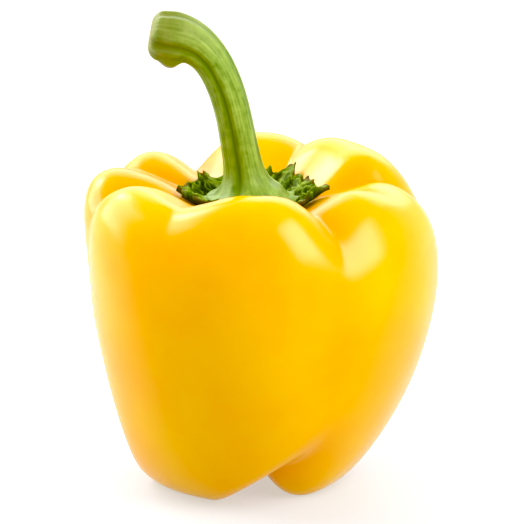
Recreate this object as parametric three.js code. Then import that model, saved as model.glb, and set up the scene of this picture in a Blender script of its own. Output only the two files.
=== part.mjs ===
import * as THREE from 'three';

// A yellow bell pepper standing on the tips of its four lobes, with its calyx and curved stalk.
// Millimetres, +Z up. Azimuths are in degrees round the upright axis: 0 is -Y and 90 is +X.

// Driving dimensions
const bodyRadius = 42.4;
const bodyHeight = 76.6;
// The resting surface is this far below the outlines' zero, and presses the lobe tips flat there
const restingLevel = -0.86;
const calyxRadius = 15.4;
const calyxThickness = 1.1;
const calyxEdge = 0.6;
const calyxClearance = 0.4;

// How finely the surfaces are divided
const bodyColumns = 84;
const bodyRows = 36;
const stalkColumns = 48;
const shaftRings = 24;

// Meridians from the stem cavity over the shoulder to the blossom end, as shares of the radius and
// the height: one over the crown of a lobe, the other along the bottom of a crease
const lobeOutline = [
  [0.00, 0.855], [0.16, 0.855], [0.28, 0.862], [0.38, 0.895], [0.49, 0.945], [0.61, 1.005],
  [0.75, 1.020], [0.89, 0.965], [1.00, 0.855], [1.035, 0.710], [1.015, 0.550], [0.945, 0.390],
  [0.850, 0.230], [0.725, 0.085], [0.58, -0.010], [0.41, -0.025], [0.25, 0.020], [0.10, 0.075],
  [0.00, 0.085],
];
const creaseOutline = [
  [0.00, 0.855], [0.16, 0.855], [0.28, 0.858], [0.38, 0.872], [0.49, 0.890], [0.60, 0.910],
  [0.71, 0.915], [0.81, 0.880], [0.88, 0.800], [0.915, 0.680], [0.91, 0.540], [0.87, 0.390],
  [0.79, 0.265], [0.67, 0.175], [0.51, 0.130], [0.36, 0.110], [0.22, 0.100], [0.10, 0.090],
  [0.00, 0.085],
];

// Creases between the lobes: azimuth, depth at the shoulder, side and base, and reach in degrees
// before and after it, each at the shoulder and at the base
const creases = [
  { at: -34, depth: [0.14, 0, 0], before: [20, 20], after: [20, 20] },
  { at: 30, depth: [0.78, 0.12, 0.85], before: [24, 26], after: [36, 30] },
  { at: 101, depth: [0.7, 0.06, 0], before: [20, 20], after: [26, 26] },
  { at: 126, depth: [0.08, 0.16, 0.95], before: [26, 30], after: [26, 22] },
  { at: 157, depth: [0.34, 0.05, 0], before: [16, 16], after: [18, 18] },
  { at: -152, depth: [0.9, 0.16, 0.95], before: [28, 22], after: [24, 18] },
  { at: -115, depth: [0.45, 0.05, 0], before: [16, 16], after: [24, 24] },
  { at: -82, depth: [0.75, 0.12, 0.8], before: [22, 22], after: [24, 22] },
];
const creaseRounding = [2, 4, 7];
const creaseSharpness = 2.2;

// Uneven growth: azimuth, reach, added share of the radius at the shoulder, side and base, and how
// many millimetres the shoulder rises
const swells = [
  { at: -88, reach: 58, fullness: [0.105, -0.04, 0.05], rise: -3.2 },
  { at: 65, reach: 65, fullness: [-0.09, -0.03, -0.1], rise: 0 },
  { at: 56, reach: 40, fullness: [0, 0, 0], rise: -2.6 },
  { at: 83, reach: 32, fullness: [0, 0, 0], rise: -4.6 },
  { at: -33, reach: 30, fullness: [0, 0, 0], rise: -3.8 },
  { at: 175, reach: 40, fullness: [0, 0, 0], rise: -0.6 },
  { at: -142, reach: 34, fullness: [0, 0, 0], rise: -3 },
  { at: 4, reach: 34, fullness: [0, 0, 0], rise: -0.8 },
];
const footTwist = -29;
const lean = { neck: -2.0, waist: 0.6, foot: -1.6 };

// Stretches of the meridian, as shares of the way from the stem cavity to the blossom end, over
// which each change comes in
const comesIn = {
  crest: [0.15, 0.30],
  fullness: [0.22, 0.34],
  waist: [0.25, 0.48],
  side: [0.36, 0.54],
  crestEnd: [0.28, 0.48],
  foot: [0.48, 0.80],
  base: [0.60, 0.79],
  twist: [0.64, 0.84],
};
const cavityShare = 0.3;

// Teeth of the calyx: azimuth and length past the calyx's own radius
const calyxTeeth = [
  [-92, 2.2], [-140, 2.6], [178, 1.6], [150, 3.4], [120, 1.2], [90, 3.2], [43, 2.8], [-2, 2.6],
  [-47, 3.0],
];
const toothReach = 16;
const toothTaper = 1.3;
const ribHeight = 0.9;
const rimCurl = 1.0;
const edgeThinning = 4;
const crinkle = { height: 0.45, folds: 16, slant: 300 };
// Stretches of the calyx, as shares of its radius, over which each change comes in
const calyxComesIn = { ribEnd: [0.75, 1], curl: [0.75, 1], crinkle: [0.7, 0.85] };

// The stalk's centreline from its foot to the cut end: x, height above the resting surface, radius
const stalkLine = [
  [-2.8, 69.9, 9.9], [-3.0, 71.0, 8.6], [-3.3, 72.7, 6.5], [-3.7, 75.4, 5.0], [-4.4, 79.2, 4.6],
  [-5.3, 84.4, 4.4], [-6.4, 90.4, 4.3], [-8.2, 96.8, 4.4], [-11.2, 103.2, 4.5],
  [-15.6, 107.5, 5.2], [-19.8, 108.4, 6.6], [-23.0, 109.0, 6.1],
];

// Grooves along the stalk: azimuth, half width in degrees, depth in millimetres
const stalkGrooves = [
  [-14, 10, 0.50], [-48, 13, 0.20], [-80, 10, 0.30], [38, 15, 0.12], [74, 12, 0.35],
  [114, 13, 0.45], [165, 12, 0.45], [-148, 13, 0.50], [-112, 12, 0.35],
];
const scallop = 1.2;
const knuckle = { at: -94, reach: 62, share: 0.92, length: 0.12, height: 1.4 };
// Stretches of the stalk, as shares of its length, over which each change comes in
const stalkComesIn = { bend: [0, 0.15], grooves: [0, 0.2], scallop: [0.82, 1] };

// Rings of the cut end, as the share taken off the radius and the millimetres past the centreline's
// end, and rings of the calyx's top and underside as shares of its radius
const cutEndRings = [[0.62, 3.0], [0.34, 2.6], [0.12, 1.7]];
const cutEndMiddle = 2.7;
const calyxTopRings = [0.78, 0.84, 0.89, 0.94, 1];
const calyxUnderRings = [1, 0.94, 0.87, 0.8, 0.6, 0.3];
const ringCrowding = 1.2;
const tangentStep = 0.01;
const halvings = 24;

const smooth = (low, high, x) => THREE.MathUtils.smoothstep(x, low, high);

const turn = (azimuth) => THREE.MathUtils.euclideanModulo(azimuth + 180, 360) - 180;

const bump = (x) => (Math.abs(x) < 1 ? (1 - x * x) ** 2 : 0);

// A uniform cubic B-spline at a share of its length; beyond makes the point before or after an end
function spline(points, share, beyond) {
  const last = points.length - 1;
  const place = THREE.MathUtils.clamp(share, 0, 1) * last;
  const start = Math.min(Math.floor(place), last - 1);
  const w = place - start;
  const weights = [
    (1 - w) ** 3 / 6,
    (3 * w ** 3 - 6 * w ** 2 + 4) / 6,
    (-3 * w ** 3 + 3 * w ** 2 + 3 * w + 1) / 6,
    w ** 3 / 6,
  ];
  const near = [
    start > 0 ? points[start - 1] : beyond(points[0], points[1]),
    points[start],
    points[start + 1],
    start + 2 <= last ? points[start + 2] : beyond(points[last], points[last - 1]),
  ];
  return points[0].map((_, n) => weights.reduce((sum, weight, k) => sum + weight * near[k][n], 0));
}

const acrossAxis = (end, inner) => [-inner[0], inner[1]];

const straightOn = (end, inner) => end.map((value, n) => 2 * value - inner[n]);

const underBase = (t) => smooth(...comesIn.base, t);

// A value given at the shoulder, the side and the base
function byHeight([shoulder, side, base], t) {
  const upper = THREE.MathUtils.lerp(shoulder, side, smooth(...comesIn.side, t));
  return THREE.MathUtils.lerp(upper, base, underBase(t));
}

// 0 on the crown of a lobe, up to 1 along the bottom of a full crease
function hollowness(u, t) {
  let kept = 1;
  const rounding = byHeight(creaseRounding, t);
  for (const { at, depth, before, after } of creases) {
    const away = turn(u - at);
    const reach = THREE.MathUtils.lerp(...(away < 0 ? before : after), underBase(t));
    const x = (Math.hypot(away, rounding) - rounding) / reach;
    if (x < 1) kept *= 1 - byHeight(depth, t) * (1 - x) ** creaseSharpness;
  }
  return 1 - kept;
}

// A point of the fruit's skin: u goes round it, t from the stem cavity to the blossom end
function skinPoint(u, t) {
  const lobe = spline(lobeOutline, t, acrossAxis);
  const crease = spline(creaseOutline, t, acrossAxis);
  const hollow = hollowness(u, t);
  const azimuth = u + footTwist * smooth(...comesIn.twist, t);
  let fullness = 0;
  let rise = 0;
  for (const swell of swells) {
    const share = bump(turn(azimuth - swell.at) / swell.reach);
    fullness += byHeight(swell.fullness, t) * share;
    rise += swell.rise * share;
  }
  const radius = THREE.MathUtils.lerp(lobe[0], crease[0], hollow) * bodyRadius
    * (1 + fullness * smooth(...comesIn.fullness, t));
  const height = THREE.MathUtils.lerp(lobe[1], crease[1], hollow) * bodyHeight
    + rise * smooth(...comesIn.crest, t) * (1 - smooth(...comesIn.crestEnd, t));
  const shift = lean.neck + (lean.waist - lean.neck) * smooth(...comesIn.waist, t)
    + (lean.foot - lean.waist) * smooth(...comesIn.foot, t);
  const a = THREE.MathUtils.degToRad(azimuth);
  return new THREE.Vector3(radius * Math.sin(a) + shift, -radius * Math.cos(a), height);
}

function standing(point) {
  return point.setZ(Math.max(point.z - restingLevel, 0));
}

const ringOf = (columns, place) => Array.from(
  { length: columns },
  (_, i) => place(-180 + (360 * i) / columns),
);

// One closed body from rings of points, with a point to close each end
function closedBody(rings, firstPoint, lastPoint) {
  const columns = rings[0].length;
  const points = [firstPoint, ...rings.flat(), lastPoint];
  const at = (ring, column) => 1 + ring * columns + (column % columns);
  const faces = [];
  for (let i = 0; i < columns; i += 1) {
    faces.push(0, at(0, i), at(0, i + 1));
    for (let ring = 0; ring + 1 < rings.length; ring += 1) {
      faces.push(at(ring, i), at(ring + 1, i), at(ring + 1, i + 1));
      faces.push(at(ring, i), at(ring + 1, i + 1), at(ring, i + 1));
    }
    faces.push(at(rings.length - 1, i), points.length - 1, at(rings.length - 1, i + 1));
  }
  const geometry = new THREE.BufferGeometry().setFromPoints(points);
  geometry.setIndex(faces);
  geometry.computeVertexNormals();
  return geometry;
}

function fruitGeometry() {
  const rings = [];
  for (let row = 1; row < bodyRows; row += 1) {
    rings.push(ringOf(bodyColumns, (u) => standing(skinPoint(u, row / bodyRows))));
  }
  return closedBody(rings, standing(skinPoint(0, 0)), standing(skinPoint(0, 1)));
}

// Height of the cavity's wall at a distance from the middle of the cavity
function wallHeight(u, distance) {
  let inside = 0;
  let outside = cavityShare;
  let point = skinPoint(u, outside);
  for (let step = 0; step < halvings; step += 1) {
    const t = (inside + outside) / 2;
    point = skinPoint(u, t);
    if (Math.hypot(point.x - lean.neck, point.y) < distance) inside = t;
    else outside = t;
  }
  return point.z - restingLevel;
}

function rimRadius(u) {
  const tooth = calyxTeeth.reduce((sum, [at, length]) => {
    const x = Math.abs(turn(u - at)) / toothReach;
    return sum + length * Math.max(0, 1 - x) ** toothTaper;
  }, 0);
  return calyxRadius + tooth;
}

// A rib runs out from the stalk to the tip of each tooth, with crinkled tissue between the ribs
function calyxRelief(u, share) {
  const near = Math.max(...calyxTeeth.map(([at]) => bump(turn(u - at) / toothReach)));
  const wave = Math.sin(THREE.MathUtils.degToRad(crinkle.folds * u + crinkle.slant * share));
  const rib = ribHeight * near * (1 - smooth(...calyxComesIn.ribEnd, share));
  const folded = (1 - near) * smooth(...calyxComesIn.crinkle, share);
  return rib + crinkle.height * (1 + wave) * folded;
}

// A point of the calyx: share runs from its middle to its rim, lift from its underside to its top
function calyxPoint(u, share, lift) {
  const distance = rimRadius(u) * share;
  const thickness = THREE.MathUtils.lerp(calyxThickness, calyxEdge, share ** edgeThinning);
  const curl = rimCurl * smooth(...calyxComesIn.curl, share);
  const z = wallHeight(u, distance) + calyxClearance + curl
    + (thickness + calyxRelief(u, share)) * lift;
  const a = THREE.MathUtils.degToRad(u);
  return new THREE.Vector3(lean.neck + distance * Math.sin(a), -distance * Math.cos(a), z);
}

function groove(u, share) {
  const depth = stalkGrooves.reduce(
    (sum, [at, halfWidth, deep]) => sum + deep * Math.exp(-((turn(u - at) / halfWidth) ** 2)),
    0,
  );
  const deeper = 1 + scallop * smooth(...stalkComesIn.scallop, share);
  return depth * smooth(...stalkComesIn.grooves, share) * deeper;
}

function shaftPoint(u, share, inward = 0, onward = 0) {
  const [x, z, girth] = spline(stalkLine, share, straightOn);
  const before = spline(stalkLine, share - tangentStep, straightOn);
  const after = spline(stalkLine, share + tangentStep, straightOn);
  const along = new THREE.Vector2(after[0] - before[0], after[1] - before[1]).normalize();
  along.x *= smooth(...stalkComesIn.bend, share);
  along.normalize();
  const swelling = knuckle.height * bump(turn(u - knuckle.at) / knuckle.reach)
    * bump((share - knuckle.share) / knuckle.length);
  const radius = (girth - groove(u, share) + swelling) * (1 - inward);
  const a = THREE.MathUtils.degToRad(u);
  const side = Math.sin(a) * radius;
  return new THREE.Vector3(
    x + side * along.y + onward * along.x,
    -Math.cos(a) * radius,
    z - side * along.x + onward * along.y,
  );
}

// The stalk and the calyx grow as one body: from the cut end down the shaft, out over the calyx to
// its rim and back underneath it
function stalkGeometry() {
  const rings = [];
  const ring = (place) => rings.push(ringOf(stalkColumns, place));
  for (const [inward, onward] of cutEndRings) ring((u) => shaftPoint(u, 1, inward, onward));
  for (let k = shaftRings; k >= 0; k -= 1) {
    ring((u) => shaftPoint(u, (k / shaftRings) ** ringCrowding));
  }
  for (const share of calyxTopRings) ring((u) => calyxPoint(u, share, 1));
  for (const share of calyxUnderRings) ring((u) => calyxPoint(u, share, 0));
  return closedBody(rings, shaftPoint(0, 1, 1, cutEndMiddle), calyxPoint(0, 0, 0));
}

function piece(name, geometry, color, roughness) {
  const material = new THREE.MeshStandardMaterial({ color, roughness, metalness: 0 });
  const mesh = new THREE.Mesh(geometry, material);
  mesh.name = name;
  return mesh;
}

const pepper = new THREE.Group();
pepper.add(piece('fruit', fruitGeometry(), 0xffc800, 0.3));
pepper.add(piece('stalk', stalkGeometry(), 0x7ea23c, 0.55));

// The origin is on the resting surface, under the middle of the fruit
const middle = new THREE.Box3().setFromObject(pepper).getCenter(new THREE.Vector3());
pepper.position.set(-middle.x, -middle.y, 0);

export default pepper;
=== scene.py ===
import math

import bpy
import numpy as np
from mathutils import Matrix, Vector, noise


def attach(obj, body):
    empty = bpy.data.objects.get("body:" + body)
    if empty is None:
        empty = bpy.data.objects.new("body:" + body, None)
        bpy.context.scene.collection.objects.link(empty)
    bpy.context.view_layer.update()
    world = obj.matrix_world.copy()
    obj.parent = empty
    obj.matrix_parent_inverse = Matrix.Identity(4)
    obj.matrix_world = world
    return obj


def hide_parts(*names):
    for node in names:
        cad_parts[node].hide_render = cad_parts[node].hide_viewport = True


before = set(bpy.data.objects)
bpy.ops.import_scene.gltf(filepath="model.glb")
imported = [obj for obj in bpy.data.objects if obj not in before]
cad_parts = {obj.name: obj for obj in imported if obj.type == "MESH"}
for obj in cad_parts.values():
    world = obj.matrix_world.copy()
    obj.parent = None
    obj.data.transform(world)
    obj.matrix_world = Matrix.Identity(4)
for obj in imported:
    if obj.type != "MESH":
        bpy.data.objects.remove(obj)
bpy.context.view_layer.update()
mm = 0.001
print("frame loaded:", ", ".join(sorted(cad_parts)))


# Small helpers for nodes and colours

def linearColour(hexCode):
    channels = [int(hexCode[i:i + 2], 16) / 255 for i in (1, 3, 5)]
    linear = [c / 12.92 if c <= 0.04045 else ((c + 0.055) / 1.055) ** 2.4 for c in channels]
    return (*linear, 1.0)


def addNode(tree, kind, settings=None, inputs=None):
    node = tree.nodes.new(kind)
    for name, value in (settings or {}).items():
        if name == "stops":
            ramp = node.color_ramp.elements
            while len(ramp) < len(value):
                ramp.new(1.0)
            for element, (place, colour) in zip(ramp, value):
                element.position = place
                element.color = colour
        else:
            setattr(node, name, value)
    for name, value in (inputs or {}).items():
        if isinstance(value, bpy.types.NodeSocket):
            tree.links.new(value, node.inputs[name])
        else:
            node.inputs[name].default_value = value
    return node


def softRange(tree, value, edges, before, after):
    return addNode(tree, "ShaderNodeMapRange", {"interpolation_type": "SMOOTHSTEP"}, {
        "Value": value, "From Min": edges[0], "From Max": edges[1],
        "To Min": before, "To Max": after,
    }).outputs["Result"]


def newMaterial(name):
    material = bpy.data.materials.new(name)
    material.use_nodes = True
    material.node_tree.nodes.clear()
    return material, material.node_tree


# The pepper's shape, by the same formula as the solids, in millimetres.
# Azimuths are in degrees: 0 is -Y and 90 is +X.

fruitForm = {
    "radius": 42.4,
    "height": 76.6,
    "restingLevel": -0.86,  # the lobe tips are pressed flat at this level of the outlines, in mm
    "lobeOutline": [  # over the crown of a lobe, from the stem cavity to the blossom end
        (0.00, 0.855), (0.16, 0.855), (0.28, 0.862), (0.38, 0.895), (0.49, 0.945), (0.61, 1.005),
        (0.75, 1.020), (0.89, 0.965), (1.00, 0.855), (1.035, 0.710), (1.015, 0.550),
        (0.945, 0.390), (0.850, 0.230), (0.725, 0.085), (0.58, -0.010), (0.41, -0.025),
        (0.25, 0.020), (0.10, 0.075), (0.00, 0.085),
    ],
    "creaseOutline": [  # along the bottom of a full crease
        (0.00, 0.855), (0.16, 0.855), (0.28, 0.858), (0.38, 0.872), (0.49, 0.890), (0.60, 0.910),
        (0.71, 0.915), (0.81, 0.880), (0.88, 0.800), (0.915, 0.680), (0.91, 0.540),
        (0.87, 0.390), (0.79, 0.265), (0.67, 0.175), (0.51, 0.130), (0.36, 0.110),
        (0.22, 0.100), (0.10, 0.090), (0.00, 0.085),
    ],
    # azimuth; depth at the shoulder, side and base; reach in degrees before and after, each at
    # the shoulder and at the base
    "creases": [
        (-34, (0.14, 0.00, 0.00), (20, 20), (20, 20)),
        (30, (0.78, 0.12, 0.85), (24, 26), (36, 30)),
        (101, (0.70, 0.06, 0.00), (20, 20), (26, 26)),
        (126, (0.08, 0.16, 0.95), (26, 30), (26, 22)),
        (157, (0.34, 0.05, 0.00), (16, 16), (18, 18)),
        (-152, (0.90, 0.16, 0.95), (28, 22), (24, 18)),
        (-115, (0.45, 0.05, 0.00), (16, 16), (24, 24)),
        (-82, (0.75, 0.12, 0.80), (22, 22), (24, 22)),
    ],
    "rounding": (2.0, 4.0, 7.0),  # of a crease's bottom, at the shoulder, side and base
    "sharpness": 2.2,  # how steeply a crease's walls rise
    # azimuth, reach, added share of the radius at the shoulder, side and base, rise in mm
    "swells": [
        (-88, 58, (0.105, -0.04, 0.05), -3.2),
        (65, 65, (-0.09, -0.03, -0.10), 0.0),
        (56, 40, (0.0, 0.0, 0.0), -2.6),
        (83, 32, (0.0, 0.0, 0.0), -4.6),
        (-33, 30, (0.0, 0.0, 0.0), -3.8),
        (175, 40, (0.0, 0.0, 0.0), -0.6),
        (-142, 34, (0.0, 0.0, 0.0), -3.0),
        (4, 34, (0.0, 0.0, 0.0), -0.8),
    ],
    "footTwist": -29.0,  # degrees that the foot is turned against the shoulder
    "lean": {"neck": -2.0, "waist": 0.6, "foot": -1.6},  # mm towards +X
    "comesIn": {  # shares of the way along the outlines between which each feature comes in
        "crest": (0.15, 0.30),
        "fullness": (0.22, 0.34),
        "waist": (0.25, 0.48),
        "side": (0.36, 0.54),
        "crestEnd": (0.28, 0.48),
        "foot": (0.48, 0.80),
        "base": (0.60, 0.79),
        "twist": (0.64, 0.84),
    },
    "solidGrid": (84, 36),  # columns and rows of the solid, which set where its middle is
    "fineGrid": (336, 168),
}


def smooth(low, high, x):
    s = np.clip((x - low) / (high - low), 0.0, 1.0)
    return s * s * (3 - 2 * s)


def turn(azimuth):
    return (azimuth + 180.0) % 360.0 - 180.0


def bump(x):
    return np.where(np.abs(x) < 1, (1 - x * x) ** 2, 0.0)


def spline(points, share, mirrored):
    inner = np.array(points, float)
    if mirrored:
        ends = inner[1] * (-1, 1), inner[-2] * (-1, 1)
    else:
        ends = 2 * inner[0] - inner[1], 2 * inner[-1] - inner[-2]
    row = np.vstack([ends[0], inner, ends[1]])
    place = np.clip(share, 0.0, 1.0) * (len(inner) - 1)
    start = np.minimum(place.astype(int), len(inner) - 2)
    w = (place - start)[..., None]
    return ((1 - w) ** 3 * row[start] + (3 * w ** 3 - 6 * w ** 2 + 4) * row[start + 1]
            + (-3 * w ** 3 + 3 * w ** 2 + 3 * w + 1) * row[start + 2] + w ** 3 * row[start + 3]) / 6


def mix(first, second, share):
    return first + (second - first) * share


def reached(feature, t):
    return smooth(*fruitForm["comesIn"][feature], t)


def byHeight(values, t):
    shoulder, side, base = values
    return mix(mix(shoulder, side, reached("side", t)), base, reached("base", t))


def hollowness(u, t):
    kept = np.ones_like(u * t)
    rounding = byHeight(fruitForm["rounding"], t)
    low = reached("base", t)
    for at, depth, before, after in fruitForm["creases"]:
        away = turn(u - at)
        reach = np.where(away < 0, mix(*before, low), mix(*after, low))
        x = (np.hypot(away, rounding) - rounding) / reach
        kept = kept * (1 - byHeight(depth, t) * np.clip(1 - x, 0, None) ** fruitForm["sharpness"])
    return 1 - kept


def skinPoint(u, t):
    form = fruitForm
    lobe = spline(form["lobeOutline"], t, True)
    crease = spline(form["creaseOutline"], t, True)
    hollow = hollowness(u, t)
    azimuth = u + form["footTwist"] * reached("twist", t)
    fullness = 0.0
    rise = 0.0
    for at, reach, amounts, lift in form["swells"]:
        share = bump(turn(azimuth - at) / reach)
        fullness = fullness + byHeight(amounts, t) * share
        rise = rise + lift * share
    radius = mix(lobe[..., 0], crease[..., 0], hollow) * form["radius"]
    radius = radius * (1 + fullness * reached("fullness", t))
    height = mix(lobe[..., 1], crease[..., 1], hollow) * form["height"]
    height = height + rise * reached("crest", t) * (1 - reached("crestEnd", t))
    lean = form["lean"]
    shift = lean["neck"] + (lean["waist"] - lean["neck"]) * reached("waist", t)
    shift = shift + (lean["foot"] - lean["waist"]) * reached("foot", t)
    a = np.radians(azimuth)
    return np.stack([radius * np.sin(a) + shift, -radius * np.cos(a), height + 0 * a], axis=-1)


def standing(points):
    points = points.copy()
    points[..., 2] = np.maximum(points[..., 2] - fruitForm["restingLevel"], 0.0)
    return points


def azimuths(columns):
    return -180 + 360 * np.arange(columns) / columns


columns, rows = fruitForm["solidGrid"]
solidSkin = standing(skinPoint(azimuths(columns)[None, :], np.arange(1, rows)[:, None] / rows))
solidSkin = solidSkin.reshape(-1, 3)
middle = (solidSkin.min(axis=0) + solidSkin.max(axis=0)) / 2 * (1, 1, 0)


def closedBody(name, rings, firstPoint, lastPoint, attributes):
    # rings run from the first point's end to the last one's, each the same number of columns
    count, columns = rings.shape[:2]
    points = (np.vstack([firstPoint, rings.reshape(-1, 3), lastPoint]) - middle) * mm
    ring = 1 + np.arange(count * columns).reshape(count, columns)
    after = np.roll(ring, -1, axis=1)
    quads = np.stack([ring[:-1], ring[1:], after[1:], after[:-1]], axis=-1).reshape(-1, 4)
    faces = quads.tolist()
    faces += [(0, a, b) for a, b in zip(ring[0].tolist(), after[0].tolist())]
    end = len(points) - 1
    faces += [(a, end, b) for a, b in zip(ring[-1].tolist(), after[-1].tolist())]
    mesh = bpy.data.meshes.new(name)
    mesh.from_pydata(points.tolist(), [], faces)
    mesh.shade_smooth()
    for label, values in attributes.items():
        layer = mesh.attributes.new(label, "FLOAT", "POINT")
        flat = np.concatenate([[values[0].mean()], values.reshape(-1), [values[-1].mean()]])
        layer.data.foreach_set("value", flat.astype(np.float32))
    piece = bpy.data.objects.new(name, mesh)
    bpy.context.scene.collection.objects.link(piece)
    return piece


seedStep = (7.3, 3.1, 1.7)  # how far apart two seeds' noise lies


def noiseAt(points, size, seed):
    # smooth noise of about -1 to 1 whose lumps are this many millimetres across
    offset = Vector([seed * step for step in seedStep])
    flat = [noise.noise(Vector(p) / size + offset) for p in points.reshape(-1, 3)]
    return np.array(flat).reshape(points.shape[:-1])


# The fruit

fruitDetail = {
    "wobble": 0.22,  # mm of uneven growth that breaks up the reflections
    "wobbleSize": 17.0,  # mm across one of its swells
    "wobbleStart": (0.28, 0.40),  # shares of the way along the outlines
    "wobbleEnd": (0.70, 0.80),
    "scarDepth": 0.8,  # mm, of the blossom scar's dimple under the base
    "scarRadius": 2.6,
    "scarStart": 0.9,
}


def makeFruit():
    detail = fruitDetail
    columns, rows = fruitForm["fineGrid"]
    u = azimuths(columns)[None, :]
    t = np.arange(1, rows)[:, None] / rows
    rings = skinPoint(u, t)
    outward = rings * (1, 1, 0)
    outward = outward / np.maximum(np.linalg.norm(outward, axis=-1, keepdims=True), 1e-6)
    wobble = detail["wobble"] * noiseAt(rings, detail["wobbleSize"], seed=1)
    wobble = wobble * smooth(*detail["wobbleStart"], t) * (1 - smooth(*detail["wobbleEnd"], t))
    rings = rings + outward * wobble[..., None]
    fromAxis = np.hypot(rings[..., 0] - fruitForm["lean"]["foot"], rings[..., 1])
    dimple = detail["scarDepth"] * np.exp(-(fromAxis / detail["scarRadius"]) ** 2)
    rings[..., 2] += dimple * (t > detail["scarStart"])
    first = standing(skinPoint(np.zeros(1), np.zeros(1)))
    last = standing(skinPoint(np.zeros(1), np.ones(1)) + (0, 0, detail["scarDepth"]))
    attributes = {
        "crease": hollowness(u, t),
        "along": t + 0 * u,
    }
    return closedBody("fruit_skin", standing(rings), first, last, attributes)


# The stalk and its calyx

stalkForm = {
    "calyxRadius": 15.4,
    "calyxThickness": 1.1,
    "calyxEdge": 0.6,  # its thickness at the rim
    "edgeThinning": 4,
    "clearance": 0.4,  # between the calyx and the cavity's wall
    "cavityShare": 0.3,  # share of the fruit's outlines that lies inside the cavity
    "teeth": [  # azimuth and length past the calyx's own radius
        (-92, 2.2), (-140, 2.6), (178, 1.6), (150, 3.4), (120, 1.2), (90, 3.2), (43, 2.8),
        (-2, 2.6), (-47, 3.0),
    ],
    "toothReach": 16.0,
    "toothTaper": 1.3,
    "ribHeight": 0.9,
    "rimCurl": 1.0,
    "crinkle": (0.45, 16, 300),  # height, folds round the rim, slant
    "line": [  # the centreline from the foot to the cut end: x, height, radius
        (-2.8, 69.9, 9.9), (-3.0, 71.0, 8.6), (-3.3, 72.7, 6.5), (-3.7, 75.4, 5.0),
        (-4.4, 79.2, 4.6), (-5.3, 84.4, 4.4), (-6.4, 90.4, 4.3), (-8.2, 96.8, 4.4),
        (-11.2, 103.2, 4.5), (-15.6, 107.5, 5.2), (-19.8, 108.4, 6.6), (-23.0, 109.0, 6.1),
    ],
    "grooves": [  # azimuth, half width, depth
        (-14, 10, 0.50), (-48, 13, 0.20), (-80, 10, 0.30), (38, 15, 0.12), (74, 12, 0.35),
        (114, 13, 0.45), (165, 12, 0.45), (-148, 13, 0.50), (-112, 12, 0.35),
    ],
    "scallop": 1.2,  # how much deeper the grooves get at the cut end
    "knuckle": (-94, 62, 0.92, 0.12, 1.4),  # azimuth, reach, share along, length, height
    "cutEnd": (0.60, 3.0, 0.4),  # share rounded off the radius, bulge and dish in mm
    "comesIn": {  # shares of the stalk's line between which each feature comes in
        "bend": (0.0, 0.15),
        "fibres": (0.1, 0.3),
        "grooves": (0.0, 0.2),
        "scallop": (0.82, 1.0),
    },
    "calyxComesIn": {  # and shares of the calyx's radius
        "brownTip": (0.93, 0.99),
        "crinkle": (0.7, 0.85),
        "curl": (0.75, 1.0),
        "leaf": (0.67, 0.72),
        "loose": (0.68, 0.76),
        "ragged": (0.8, 1.0),
        "ribEnd": (0.75, 1.0),
    },
}

# How finely the stalk's body is divided

stalkGrid = {
    "columns": 320,
    "cutEndRings": (0.93, 0.86, 0.79, 0.72, 0.66),  # shares taken off the radius
    "edgeTurns": (90, 78, 66, 54, 42, 30, 18, 6),  # degrees round the cut end's rounded edge
    "shaftRings": 150,
    "ringCrowding": 1.2,
    "calyxTop": (0.68, 1.0, 46),  # first and last share of the radius, and how many rings
    "calyxUnder": (1.0, 0.97, 0.94, 0.9, 0.84, 0.76, 0.6, 0.4, 0.2),
    "tangentStep": 0.01,
    "halvings": 24,
}

stalkDetail = {
    "fibres": 34,  # fine ridges round the shaft
    "fibreHeight": 0.02,  # mm
    "curl": 1.7,  # mm of parsley-like curling of the calyx
    "curlSize": 1.9,  # mm between its folds
    "coarseShare": 0.65,  # the rest of the curling is in folds of half that size
    "sharpness": 2.6,
    "ribCalm": 0.5,  # share of the curling that a tooth's rib takes away
    "sway": 0.8,  # mm that the folds lean sideways
    "swayRadius": 4.0,  # mm from the axis, within which the folds' lean stays the same angle
    "raggedness": 1.6,  # mm in and out along the calyx's rim
    "raggedSize": 1.3,
    "cutColour": (40, 80),  # degrees round the cut end's edge over which its colour comes in
}


def wallHeight(u, distance):
    # height of the stem cavity's wall at a distance from its middle
    inside = np.zeros_like(distance)
    outside = np.full_like(distance, stalkForm["cavityShare"])
    for _ in range(stalkGrid["halvings"]):
        t = (inside + outside) / 2
        point = skinPoint(u, t)
        nearer = np.hypot(point[..., 0] - fruitForm["lean"]["neck"], point[..., 1]) < distance
        inside = np.where(nearer, t, inside)
        outside = np.where(nearer, outside, t)
    return point[..., 2] - fruitForm["restingLevel"]


def toothNearness(u):
    reach = stalkForm["toothReach"]
    return np.max([bump(turn(u - at) / reach) for at, _ in stalkForm["teeth"]], axis=0)


def rimRadius(u):
    form = stalkForm
    rim = form["calyxRadius"] + 0 * u
    for at, length in form["teeth"]:
        nearness = np.clip(1 - np.abs(turn(u - at)) / form["toothReach"], 0, None)
        rim = rim + length * nearness ** form["toothTaper"]
    return rim


def aroundAxis(a, distance):
    return np.stack([distance * np.sin(a), -distance * np.cos(a), 0 * a], axis=-1)


def sharpFolds(points, size, seed):
    return np.clip(1 - stalkDetail["sharpness"] * np.abs(noiseAt(points, size, seed)), 0, 1)


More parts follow.
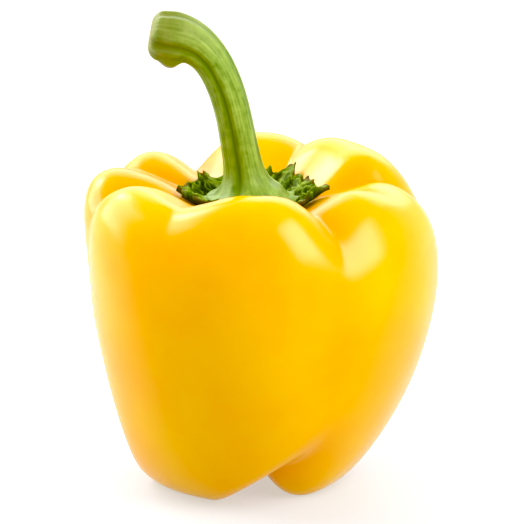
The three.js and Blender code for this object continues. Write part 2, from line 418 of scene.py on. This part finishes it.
def calyxRing(u, share, lift):
    form = stalkForm
    detail = stalkDetail
    comesIn = {name: smooth(*span, share) for name, span in form["calyxComesIn"].items()}
    a = np.radians(u)
    ragged = detail["raggedness"] * noiseAt(
        aroundAxis(a, form["calyxRadius"]), detail["raggedSize"], seed=3)
    distance = (rimRadius(u) + ragged * comesIn["ragged"]) * share
    flat = aroundAxis(a, distance)
    loose = comesIn["loose"] * lift
    lean = detail["sway"] / distance.clip(detail["swayRadius"])
    a = a + lean * noiseAt(flat, detail["curlSize"], seed=8) * loose
    distance = distance + detail["sway"] * noiseAt(flat, detail["curlSize"], seed=9) * loose
    near = toothNearness(u)
    height, count, slant = form["crinkle"]
    wave = np.sin(np.radians(count * u + slant * share))
    relief = form["ribHeight"] * near * (1 - comesIn["ribEnd"])
    relief = relief + height * (1 + wave) * (1 - near) * comesIn["crinkle"]
    coarse = sharpFolds(flat, detail["curlSize"], seed=5)
    fine = sharpFolds(flat, detail["curlSize"] / 2, seed=6)
    folds = detail["coarseShare"] * coarse + (1 - detail["coarseShare"]) * fine
    relief = relief + detail["curl"] * folds * loose * (1 - detail["ribCalm"] * near)
    thickness = mix(form["calyxThickness"], form["calyxEdge"], share ** form["edgeThinning"])
    z = wallHeight(u, distance) + form["clearance"] + form["rimCurl"] * comesIn["curl"]
    place = aroundAxis(a, distance)
    place[..., 0] += fruitForm["lean"]["neck"]
    place[..., 2] = z + (thickness + relief) * lift
    return place, folds


def alongStalk(feature, share):
    return smooth(*stalkForm["comesIn"][feature], share)


def grooveDepth(u, share):
    depth = 0 * u
    for at, halfWidth, deep in stalkForm["grooves"]:
        depth = depth + deep * np.exp(-(turn(u - at) / halfWidth) ** 2)
    deeper = 1 + stalkForm["scallop"] * alongStalk("scallop", share)
    return depth * alongStalk("grooves", share) * deeper


def shaftRing(u, share, inward=0.0, onward=0.0):
    line = stalkForm["line"]
    step = stalkGrid["tangentStep"]
    x, z, girth = spline(line, np.array(share), False)
    before = spline(line, np.array(share - step), False)
    after = spline(line, np.array(share + step), False)
    along = Vector((after[0] - before[0], after[1] - before[1])).normalized()
    along.x *= float(alongStalk("bend", share))
    along.normalize()
    at, reach, middleShare, length, height = stalkForm["knuckle"]
    swelling = height * bump(turn(u - at) / reach) * bump((share - middleShare) / length)
    fibre = stalkDetail["fibreHeight"] * np.sin(np.radians(stalkDetail["fibres"] * u))
    fibre = fibre * alongStalk("fibres", share)
    radius = (girth - grooveDepth(u, share) + swelling + fibre) * (1 - inward)
    a = np.radians(u)
    side = np.sin(a) * radius
    return np.stack([
        x + side * along.y + onward * along.x,
        -np.cos(a) * radius,
        z - side * along.x + onward * along.y,
    ], axis=-1)


# What each point of the stalk's body is marked with, for the colours
stalkMarks = ("groove", "calyx", "rib", "fold", "tip", "cutEnd", "upStalk", "aroundX", "aroundY")


def makeStalk():
    u = azimuths(stalkGrid["columns"])
    rings = []
    a = np.radians(u)
    marks = {label: [] for label in stalkMarks}

    def keep(ring, groove=0, calyx=0, rib=0, fold=0, tip=0, cutEnd=0, upStalk=0):
        rings.append(ring)
        values = (groove, calyx, rib, fold, tip, cutEnd, upStalk, np.sin(a), -np.cos(a))
        for label, value in zip(marks, values):
            marks[label].append(value + 0 * u)

    deepest = max(deep for _, _, deep in stalkForm["grooves"])
    inset, bulge, dish = stalkForm["cutEnd"]
    for inward in stalkGrid["cutEndRings"]:
        dished = bulge - dish * smooth(inset, 1.0, inward)
        keep(shaftRing(u, 1.0, inward, dished), cutEnd=1, upStalk=1)
    for turned in stalkGrid["edgeTurns"]:
        over = math.radians(turned)
        cut = smooth(*stalkDetail["cutColour"], turned)
        ring = shaftRing(u, 1.0, inset * (1 - math.cos(over)), bulge * math.sin(over))
        keep(ring, groove=grooveDepth(u, 1.0) / deepest, cutEnd=cut, upStalk=1)
    for k in range(stalkGrid["shaftRings"], -1, -1):
        share = (k / stalkGrid["shaftRings"]) ** stalkGrid["ringCrowding"]
        keep(shaftRing(u, share), groove=grooveDepth(u, share) / deepest, upStalk=share)
    near = toothNearness(u)
    calyxComesIn = stalkForm["calyxComesIn"]
    for share in np.linspace(*stalkGrid["calyxTop"]):
        ring, folds = calyxRing(u, share, 1.0)
        tip = smooth(*calyxComesIn["brownTip"], share) * near
        keep(ring, calyx=smooth(*calyxComesIn["leaf"], share), rib=near, fold=folds, tip=tip)
    for share in stalkGrid["calyxUnder"]:
        keep(calyxRing(u, share, 0.0)[0], calyx=1)
    first = shaftRing(np.zeros(1), 1.0, 1.0, bulge - dish)
    last = calyxRing(np.zeros(1), 0.0, 0.0)[0]
    attributes = {label: np.array(values) for label, values in marks.items()}
    return closedBody("stalk_tissue", np.array(rings), first, last, attributes)


fruit = makeFruit()
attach(fruit, "root")
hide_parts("fruit")
print("fruit:", len(fruit.data.polygons), "faces")

stalk = makeStalk()
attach(stalk, "root")
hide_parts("stalk")
print("stalk:", len(stalk.data.polygons), "faces")


# Ripe pepper skin: a smooth waxy cuticle over juicy yellow flesh. To the eye it is a deep clear
# yellow with soft-edged highlights and a faint glow; its creases are painted a darker orange by
# their depth, which is painted shade.

skinLook = {
    "deepYellow": "#DC9800",
    "lemonYellow": "#DEA600",
    # painted shade: the darker orange painted into the creases
    "paintedCreaseShade": "#E28200",
    "cavityYellow": "#DCA000",
    "scarBrown": "#8A6A35",
    "speckYellow": "#D8A820",
    "glossTint": "#FFFAE6",
    "patchSize": 26.0,  # mm across a patch of riper colour
    "patchEdges": (0.35, 0.65),  # levels of the noise between which it turns lemon yellow
    "cavityEdges": (0.12, 0.3),  # shares of the outlines over which the cavity's colour fades
    "cavityShare": 0.6,
    "speckReach": 0.63,  # mm from the middle of a lenticel speck to where it fades out
    "speckSpacing": 2.1,  # mm
    "speckShare": 0.16,
    "scarEdges": (0.978, 0.99),  # shares of the outlines over which the scar's brown comes in
    "peelSize": 1.6,  # mm across the skin's faint dimples
    "peelHeight": 0.1,  # mm
    "peelStrength": 0.12,
    "roughness": 0.25,
    "ior": 1.43,
    "fleshGlow": 0.25,  # share of the light that goes through the flesh
    "fleshReach": (1.0, 0.45, 0.08),  # how far red, green and blue go, as shares of the depth
    "fleshDepth": 3.0,  # mm
}


def ripeSkin():
    look = skinLook
    material, tree = newMaterial("ripePepperSkin")
    coord = addNode(tree, "ShaderNodeTexCoord").outputs["Object"]
    patches = addNode(tree, "ShaderNodeTexNoise", None, {
        "Vector": coord, "Scale": 1 / (look["patchSize"] * mm), "Detail": 3, "Roughness": 0.5,
    })
    deep, lemon = look["patchEdges"]
    ripeness = addNode(tree, "ShaderNodeValToRGB", {"stops": [
        (deep, linearColour(look["deepYellow"])),
        (lemon, linearColour(look["lemonYellow"])),
    ]}, {"Fac": patches.outputs["Fac"]})
    crease = addNode(tree, "ShaderNodeAttribute", {"attribute_name": "crease"})
    # The creases are painted a darker orange by their depth: painted shade.
    creaseShaded = addNode(tree, "ShaderNodeMix", {"data_type": "RGBA"}, {
        0: crease.outputs["Fac"], 6: ripeness.outputs["Color"],
        7: linearColour(look["paintedCreaseShade"]),
    })
    along = addNode(tree, "ShaderNodeAttribute", {"attribute_name": "along"})
    nearCavity = softRange(tree, along.outputs["Fac"], look["cavityEdges"], look["cavityShare"], 0)
    paler = addNode(tree, "ShaderNodeMix", {"data_type": "RGBA"}, {
        0: nearCavity, 6: creaseShaded.outputs[2], 7: linearColour(look["cavityYellow"]),
    })
    specks = addNode(tree, "ShaderNodeTexVoronoi", None, {
        "Vector": coord, "Scale": 1 / (look["speckSpacing"] * mm), "Randomness": 1,
    })
    speckle = addNode(tree, "ShaderNodeMapRange", None, {
        "Value": specks.outputs["Distance"], "From Min": 0,
        "From Max": look["speckReach"] / look["speckSpacing"],
        "To Min": look["speckShare"], "To Max": 0,
    })
    specked = addNode(tree, "ShaderNodeMix", {"data_type": "RGBA"}, {
        0: speckle.outputs["Result"], 6: paler.outputs[2], 7: linearColour(look["speckYellow"]),
    })
    scar = softRange(tree, along.outputs["Fac"], look["scarEdges"], 0, 1)
    colour = addNode(tree, "ShaderNodeMix", {"data_type": "RGBA"}, {
        0: scar, 6: specked.outputs[2], 7: linearColour(look["scarBrown"]),
    })
    peel = addNode(tree, "ShaderNodeTexNoise", None, {
        "Vector": coord, "Scale": 1 / (look["peelSize"] * mm), "Detail": 2,
    })
    dimples = addNode(tree, "ShaderNodeBump", None, {
        "Strength": look["peelStrength"], "Distance": look["peelHeight"] * mm,
        "Height": peel.outputs["Fac"],
    })
    shader = addNode(tree, "ShaderNodeBsdfPrincipled", None, {
        "Base Color": colour.outputs[2], "Roughness": look["roughness"],
        "IOR": look["ior"], "Normal": dimples.outputs["Normal"],
        "Subsurface Weight": look["fleshGlow"], "Subsurface Radius": look["fleshReach"],
        "Subsurface Scale": look["fleshDepth"] * mm,
        "Specular Tint": linearColour(look["glossTint"]),
    })
    addNode(tree, "ShaderNodeOutputMaterial", None, {"Surface": shader.outputs["BSDF"]})
    return material


# Fresh green stalk tissue: fibrous and satin, light green on its ridges, and painted darker in its
# grooves by their depth, which is painted shade. The calyx is dark, crumpled leaf tissue with paler
# ribs, painted near-black in the valleys of its folds as painted shade and pale on their crests as
# painted highlight, and the cut end is dry and brownish.

stalkLook = {
    "ridgeGreen": "#869E4A",
    "midGreen": "#527026",
    # painted shade: the darker green painted into the grooves by their depth
    "paintedGrooveShade": "#4A661A",
    "headOlive": "#787640",
    # painted shade: the near-black green painted into the valleys of the calyx's folds
    "foldValleyShade": "#102402",
    "leafGreen": "#325008",
    # the paler green of the calyx's ribs, and painted highlight on the crests of its folds
    "ribPaleAndCrestHighlight": "#84983C",
    "tipBrown": "#4A2E18",
    "cutEndGreen": "#7F7A34",
    "glossTint": "#F4F6C4",
    "streaksRound": 4.5,  # how many streaks fit in a radius of the shaft
    "streaksAlong": 7.0,  # and in the whole length
    "mottleSize": 2.4,  # mm
    "mottleShare": 0.4,  # the rest of the pattern is streaks
    "ridgeEdges": (0.38, 0.60),  # levels of the pattern between which it turns ridge green
    "headEdges": (0.7, 1.0),  # shares of the stalk's length over which the head's olive comes in
    # painted shade in the folds' valleys, the leaf's own green on their slopes, painted highlight
    # on their crests
    "foldEdges": (0.10, 0.55, 0.95),  # how high on a leaf fold its three greens lie
    "ribEdges": (0.88, 1.0),  # how near to a tooth's middle its pale rib shows
    "ribShare": 0.5,
    "reliefHeight": 0.3,  # mm
    "reliefStrength": 0.6,
    "roughness": 0.42,
    "leafRoughness": 0.7,
    "ior": 1.38,
    "tissueGlow": 0.12,  # share of the light that goes through the tissue
    "tissueReach": (0.5, 1.0, 0.2),  # how far red, green and blue go, as shares of the depth
    "tissueDepth": 1.0,  # mm
}


def greenTissue():
    look = stalkLook
    material, tree = newMaterial("freshStalkTissue")
    coord = addNode(tree, "ShaderNodeTexCoord").outputs["Object"]
    marks = {label: addNode(tree, "ShaderNodeAttribute", {"attribute_name": label}).outputs["Fac"]
             for label in stalkMarks}
    grain = addNode(tree, "ShaderNodeCombineXYZ", None, {
        "X": marks["aroundX"], "Y": marks["aroundY"], "Z": marks["upStalk"],
    })
    stretched = addNode(tree, "ShaderNodeVectorMath", {"operation": "MULTIPLY"}, {
        0: grain.outputs["Vector"],
        1: (look["streaksRound"], look["streaksRound"], look["streaksAlong"]),
    })
    streaks = addNode(tree, "ShaderNodeTexNoise", None, {
        "Vector": stretched.outputs["Vector"], "Scale": 1.0, "Detail": 6, "Roughness": 0.65,
    })
    mottles = addNode(tree, "ShaderNodeTexNoise", None, {
        "Vector": coord, "Scale": 1 / (look["mottleSize"] * mm), "Detail": 4, "Roughness": 0.6,
    })
    grown = addNode(tree, "ShaderNodeMix", {"data_type": "FLOAT"}, {
        0: look["mottleShare"], 2: streaks.outputs["Fac"], 3: mottles.outputs["Fac"],
    })
    lower, upper = look["ridgeEdges"]
    ridge = addNode(tree, "ShaderNodeValToRGB", {"stops": [
        (lower, linearColour(look["midGreen"])),
        (upper, linearColour(look["ridgeGreen"])),
    ]}, {"Fac": grown.outputs[0]})
    # The grooves are painted darker by their depth: painted shade.
    grooveShaded = addNode(tree, "ShaderNodeMix", {"data_type": "RGBA"}, {
        0: marks["groove"], 6: ridge.outputs["Color"], 7: linearColour(look["paintedGrooveShade"]),
    })
    mottled = addNode(tree, "ShaderNodeMath", {"operation": "MULTIPLY"}, {
        0: softRange(tree, marks["upStalk"], look["headEdges"], 0, 1), 1: mottles.outputs["Fac"],
    })
    shaft = addNode(tree, "ShaderNodeMix", {"data_type": "RGBA"}, {
        0: mottled.outputs["Value"], 6: grooveShaded.outputs[2], 7: linearColour(look["headOlive"]),
    })
    # The calyx's folds are painted near-black in their valleys, as painted shade, and pale on their
    # crests, as painted highlight.
    valley, slope, crest = look["foldEdges"]
    leaf = addNode(tree, "ShaderNodeValToRGB", {"stops": [
        (valley, linearColour(look["foldValleyShade"])),
        (slope, linearColour(look["leafGreen"])),
        (crest, linearColour(look["ribPaleAndCrestHighlight"])),
    ]}, {"Fac": marks["fold"]})
    ribbed = addNode(tree, "ShaderNodeMix", {"data_type": "RGBA"}, {
        0: softRange(tree, marks["rib"], look["ribEdges"], 0, look["ribShare"]),
        6: leaf.outputs["Color"], 7: linearColour(look["ribPaleAndCrestHighlight"]),
    })
    tipped = addNode(tree, "ShaderNodeMix", {"data_type": "RGBA"}, {
        0: marks["tip"], 6: ribbed.outputs[2], 7: linearColour(look["tipBrown"]),
    })
    tissue = addNode(tree, "ShaderNodeMix", {"data_type": "RGBA"}, {
        0: marks["calyx"], 6: shaft.outputs[2], 7: tipped.outputs[2],
    })
    colour = addNode(tree, "ShaderNodeMix", {"data_type": "RGBA"}, {
        0: marks["cutEnd"], 6: tissue.outputs[2], 7: linearColour(look["cutEndGreen"]),
    })
    relief = addNode(tree, "ShaderNodeBump", None, {
        "Strength": look["reliefStrength"], "Distance": look["reliefHeight"] * mm,
        "Height": grown.outputs[0],
    })
    dullness = addNode(tree, "ShaderNodeMapRange", None, {
        "Value": marks["calyx"], "From Min": 0, "From Max": 1,
        "To Min": look["roughness"], "To Max": look["leafRoughness"],
    })
    shader = addNode(tree, "ShaderNodeBsdfPrincipled", None, {
        "Base Color": colour.outputs[2], "Roughness": dullness.outputs["Result"],
        "IOR": look["ior"], "Normal": relief.outputs["Normal"],
        "Subsurface Weight": look["tissueGlow"], "Subsurface Radius": look["tissueReach"],
        "Subsurface Scale": look["tissueDepth"] * mm,
        "Specular Tint": linearColour(look["glossTint"]),
    })
    addNode(tree, "ShaderNodeOutputMaterial", None, {"Surface": shader.outputs["BSDF"]})
    return material


fruit.data.materials.append(ripeSkin())
stalk.data.materials.append(greenTissue())
print("materials made")


# The floor, the light and the camera

floorLook = {
    "size": 8.0,  # metres
    "colour": "#929292",
    "roughness": 0.6,
    "specular": 0.2,
    "glow": (0.5, 0.85),  # beside the pepper, and where the lamps don't reach
    "glowReach": (0.45, 0.85),  # metres from the pepper between which one turns into the other
}


def makeFloor():
    half = floorLook["size"] / 2
    mesh = bpy.data.meshes.new("floor")
    corners = [(-half, -half, 0), (half, -half, 0), (half, half, 0), (-half, half, 0)]
    mesh.from_pydata(corners, [], [(0, 1, 2, 3)])
    floor = bpy.data.objects.new("floor", mesh)
    bpy.context.scene.collection.objects.link(floor)
    material, tree = newMaterial("paleStudioFloor")
    coord = addNode(tree, "ShaderNodeTexCoord").outputs["Object"]
    away = addNode(tree, "ShaderNodeVectorMath", {"operation": "LENGTH"}, {0: coord})
    glow = softRange(tree, away.outputs["Value"], floorLook["glowReach"], *floorLook["glow"])
    shader = addNode(tree, "ShaderNodeBsdfPrincipled", None, {
        "Base Color": linearColour(floorLook["colour"]), "Roughness": floorLook["roughness"],
        "Specular IOR Level": floorLook["specular"], "Emission Color": (1, 1, 1, 1),
        "Emission Strength": glow,
    })
    addNode(tree, "ShaderNodeOutputMaterial", None, {"Surface": shader.outputs["BSDF"]})
    mesh.materials.append(material)
    return floor


makeFloor()

lightAim = 0.045  # metres above the floor
lightPlan = {
    # direction as azimuth and elevation in degrees; distance, width and height in metres; watts
    "windowBox": (62, 39, 0.80, 0.52, 0.56, 7.9),
    "leftPanel": (-111, 28, 0.85, 0.62, 0.80, 9.2),
    "topLeftBox": (-132, 44, 0.80, 0.22, 0.30, 1.8),
    "backWall": (-176, 36, 1.20, 1.80, 0.80, 12.0),
}


def makeLight(name, azimuth, elevation, distance, width, height, watts):
    aim = Vector((0, 0, lightAim))
    a, e = math.radians(azimuth), math.radians(elevation)
    away = Vector((math.sin(a) * math.cos(e), -math.cos(a) * math.cos(e), math.sin(e)))
    lamp = bpy.data.lights.new(name, "AREA")
    lamp.shape = "RECTANGLE"
    lamp.size = width
    lamp.size_y = height
    lamp.energy = watts
    holder = bpy.data.objects.new(name, lamp)
    bpy.context.scene.collection.objects.link(holder)
    holder.location = aim + away * distance
    holder.rotation_euler = away.to_track_quat("Z", "Y").to_euler()


for name, plan in lightPlan.items():
    makeLight(name, *plan)

# The white room's walls glow a little more near the floor than overhead
roomGlow = {"edges": (0.05, 0.5), "low": 1.05, "high": 0.8}
world = bpy.data.worlds.new("whiteStudio")
bpy.context.scene.world = world
world.use_nodes = True
world.node_tree.nodes.clear()
around = addNode(world.node_tree, "ShaderNodeTexCoord").outputs["Generated"]
upward = addNode(world.node_tree, "ShaderNodeSeparateXYZ", None, {0: around}).outputs["Z"]
wall = softRange(world.node_tree, upward, roomGlow["edges"], roomGlow["low"], roomGlow["high"])
glow = addNode(world.node_tree, "ShaderNodeBackground", None, {
    "Color": (1, 1, 1, 1), "Strength": wall,
})
addNode(world.node_tree, "ShaderNodeOutputWorld", None, {"Surface": glow.outputs["Background"]})

cameraPlan = {
    "elevation": 16.0,  # degrees
    "distance": 0.9,  # metres
    "sensor": 36.0,  # mm
    "frame": 524,  # pixels across the picture
    "acrossScale": 4.17,  # pixels a millimetre across the picture at the pepper's axis
    "upScale": 4.007,  # pixels a millimetre of height
    "axisAcross": 260,  # pixels from the left
    "floorDown": 472.5,  # pixels from the top to where the axis meets the outlines' zero
}


def makeCamera():
    plan = cameraPlan
    e = math.radians(plan["elevation"])
    centre = plan["frame"] / 2
    across = (centre - plan["axisAcross"]) / plan["acrossScale"] - middle[0]
    up = (plan["floorDown"] - centre) / plan["upScale"] - fruitForm["restingLevel"]
    lens = bpy.data.cameras.new("camera")
    lens.sensor_width = plan["sensor"]
    lens.lens = plan["sensor"] * plan["distance"] / (plan["frame"] / plan["acrossScale"] * mm)
    camera = bpy.data.objects.new("camera", lens)
    bpy.context.scene.collection.objects.link(camera)
    back = Vector((0, -math.cos(e), math.sin(e))) * plan["distance"]
    camera.location = Vector((across * mm, 0, up * mm)) + back
    camera.rotation_euler = (math.pi / 2 - e, 0, 0)
    bpy.context.scene.camera = camera


makeCamera()
blueCut = 0.05  # the photo's yellows hold next to no blue
view = bpy.context.scene.view_settings
view.view_transform = "Standard"
view.use_curve_mapping = True
view.curve_mapping.black_level = (0.0, 0.0, blueCut)
view.curve_mapping.update()
print("light and camera set")
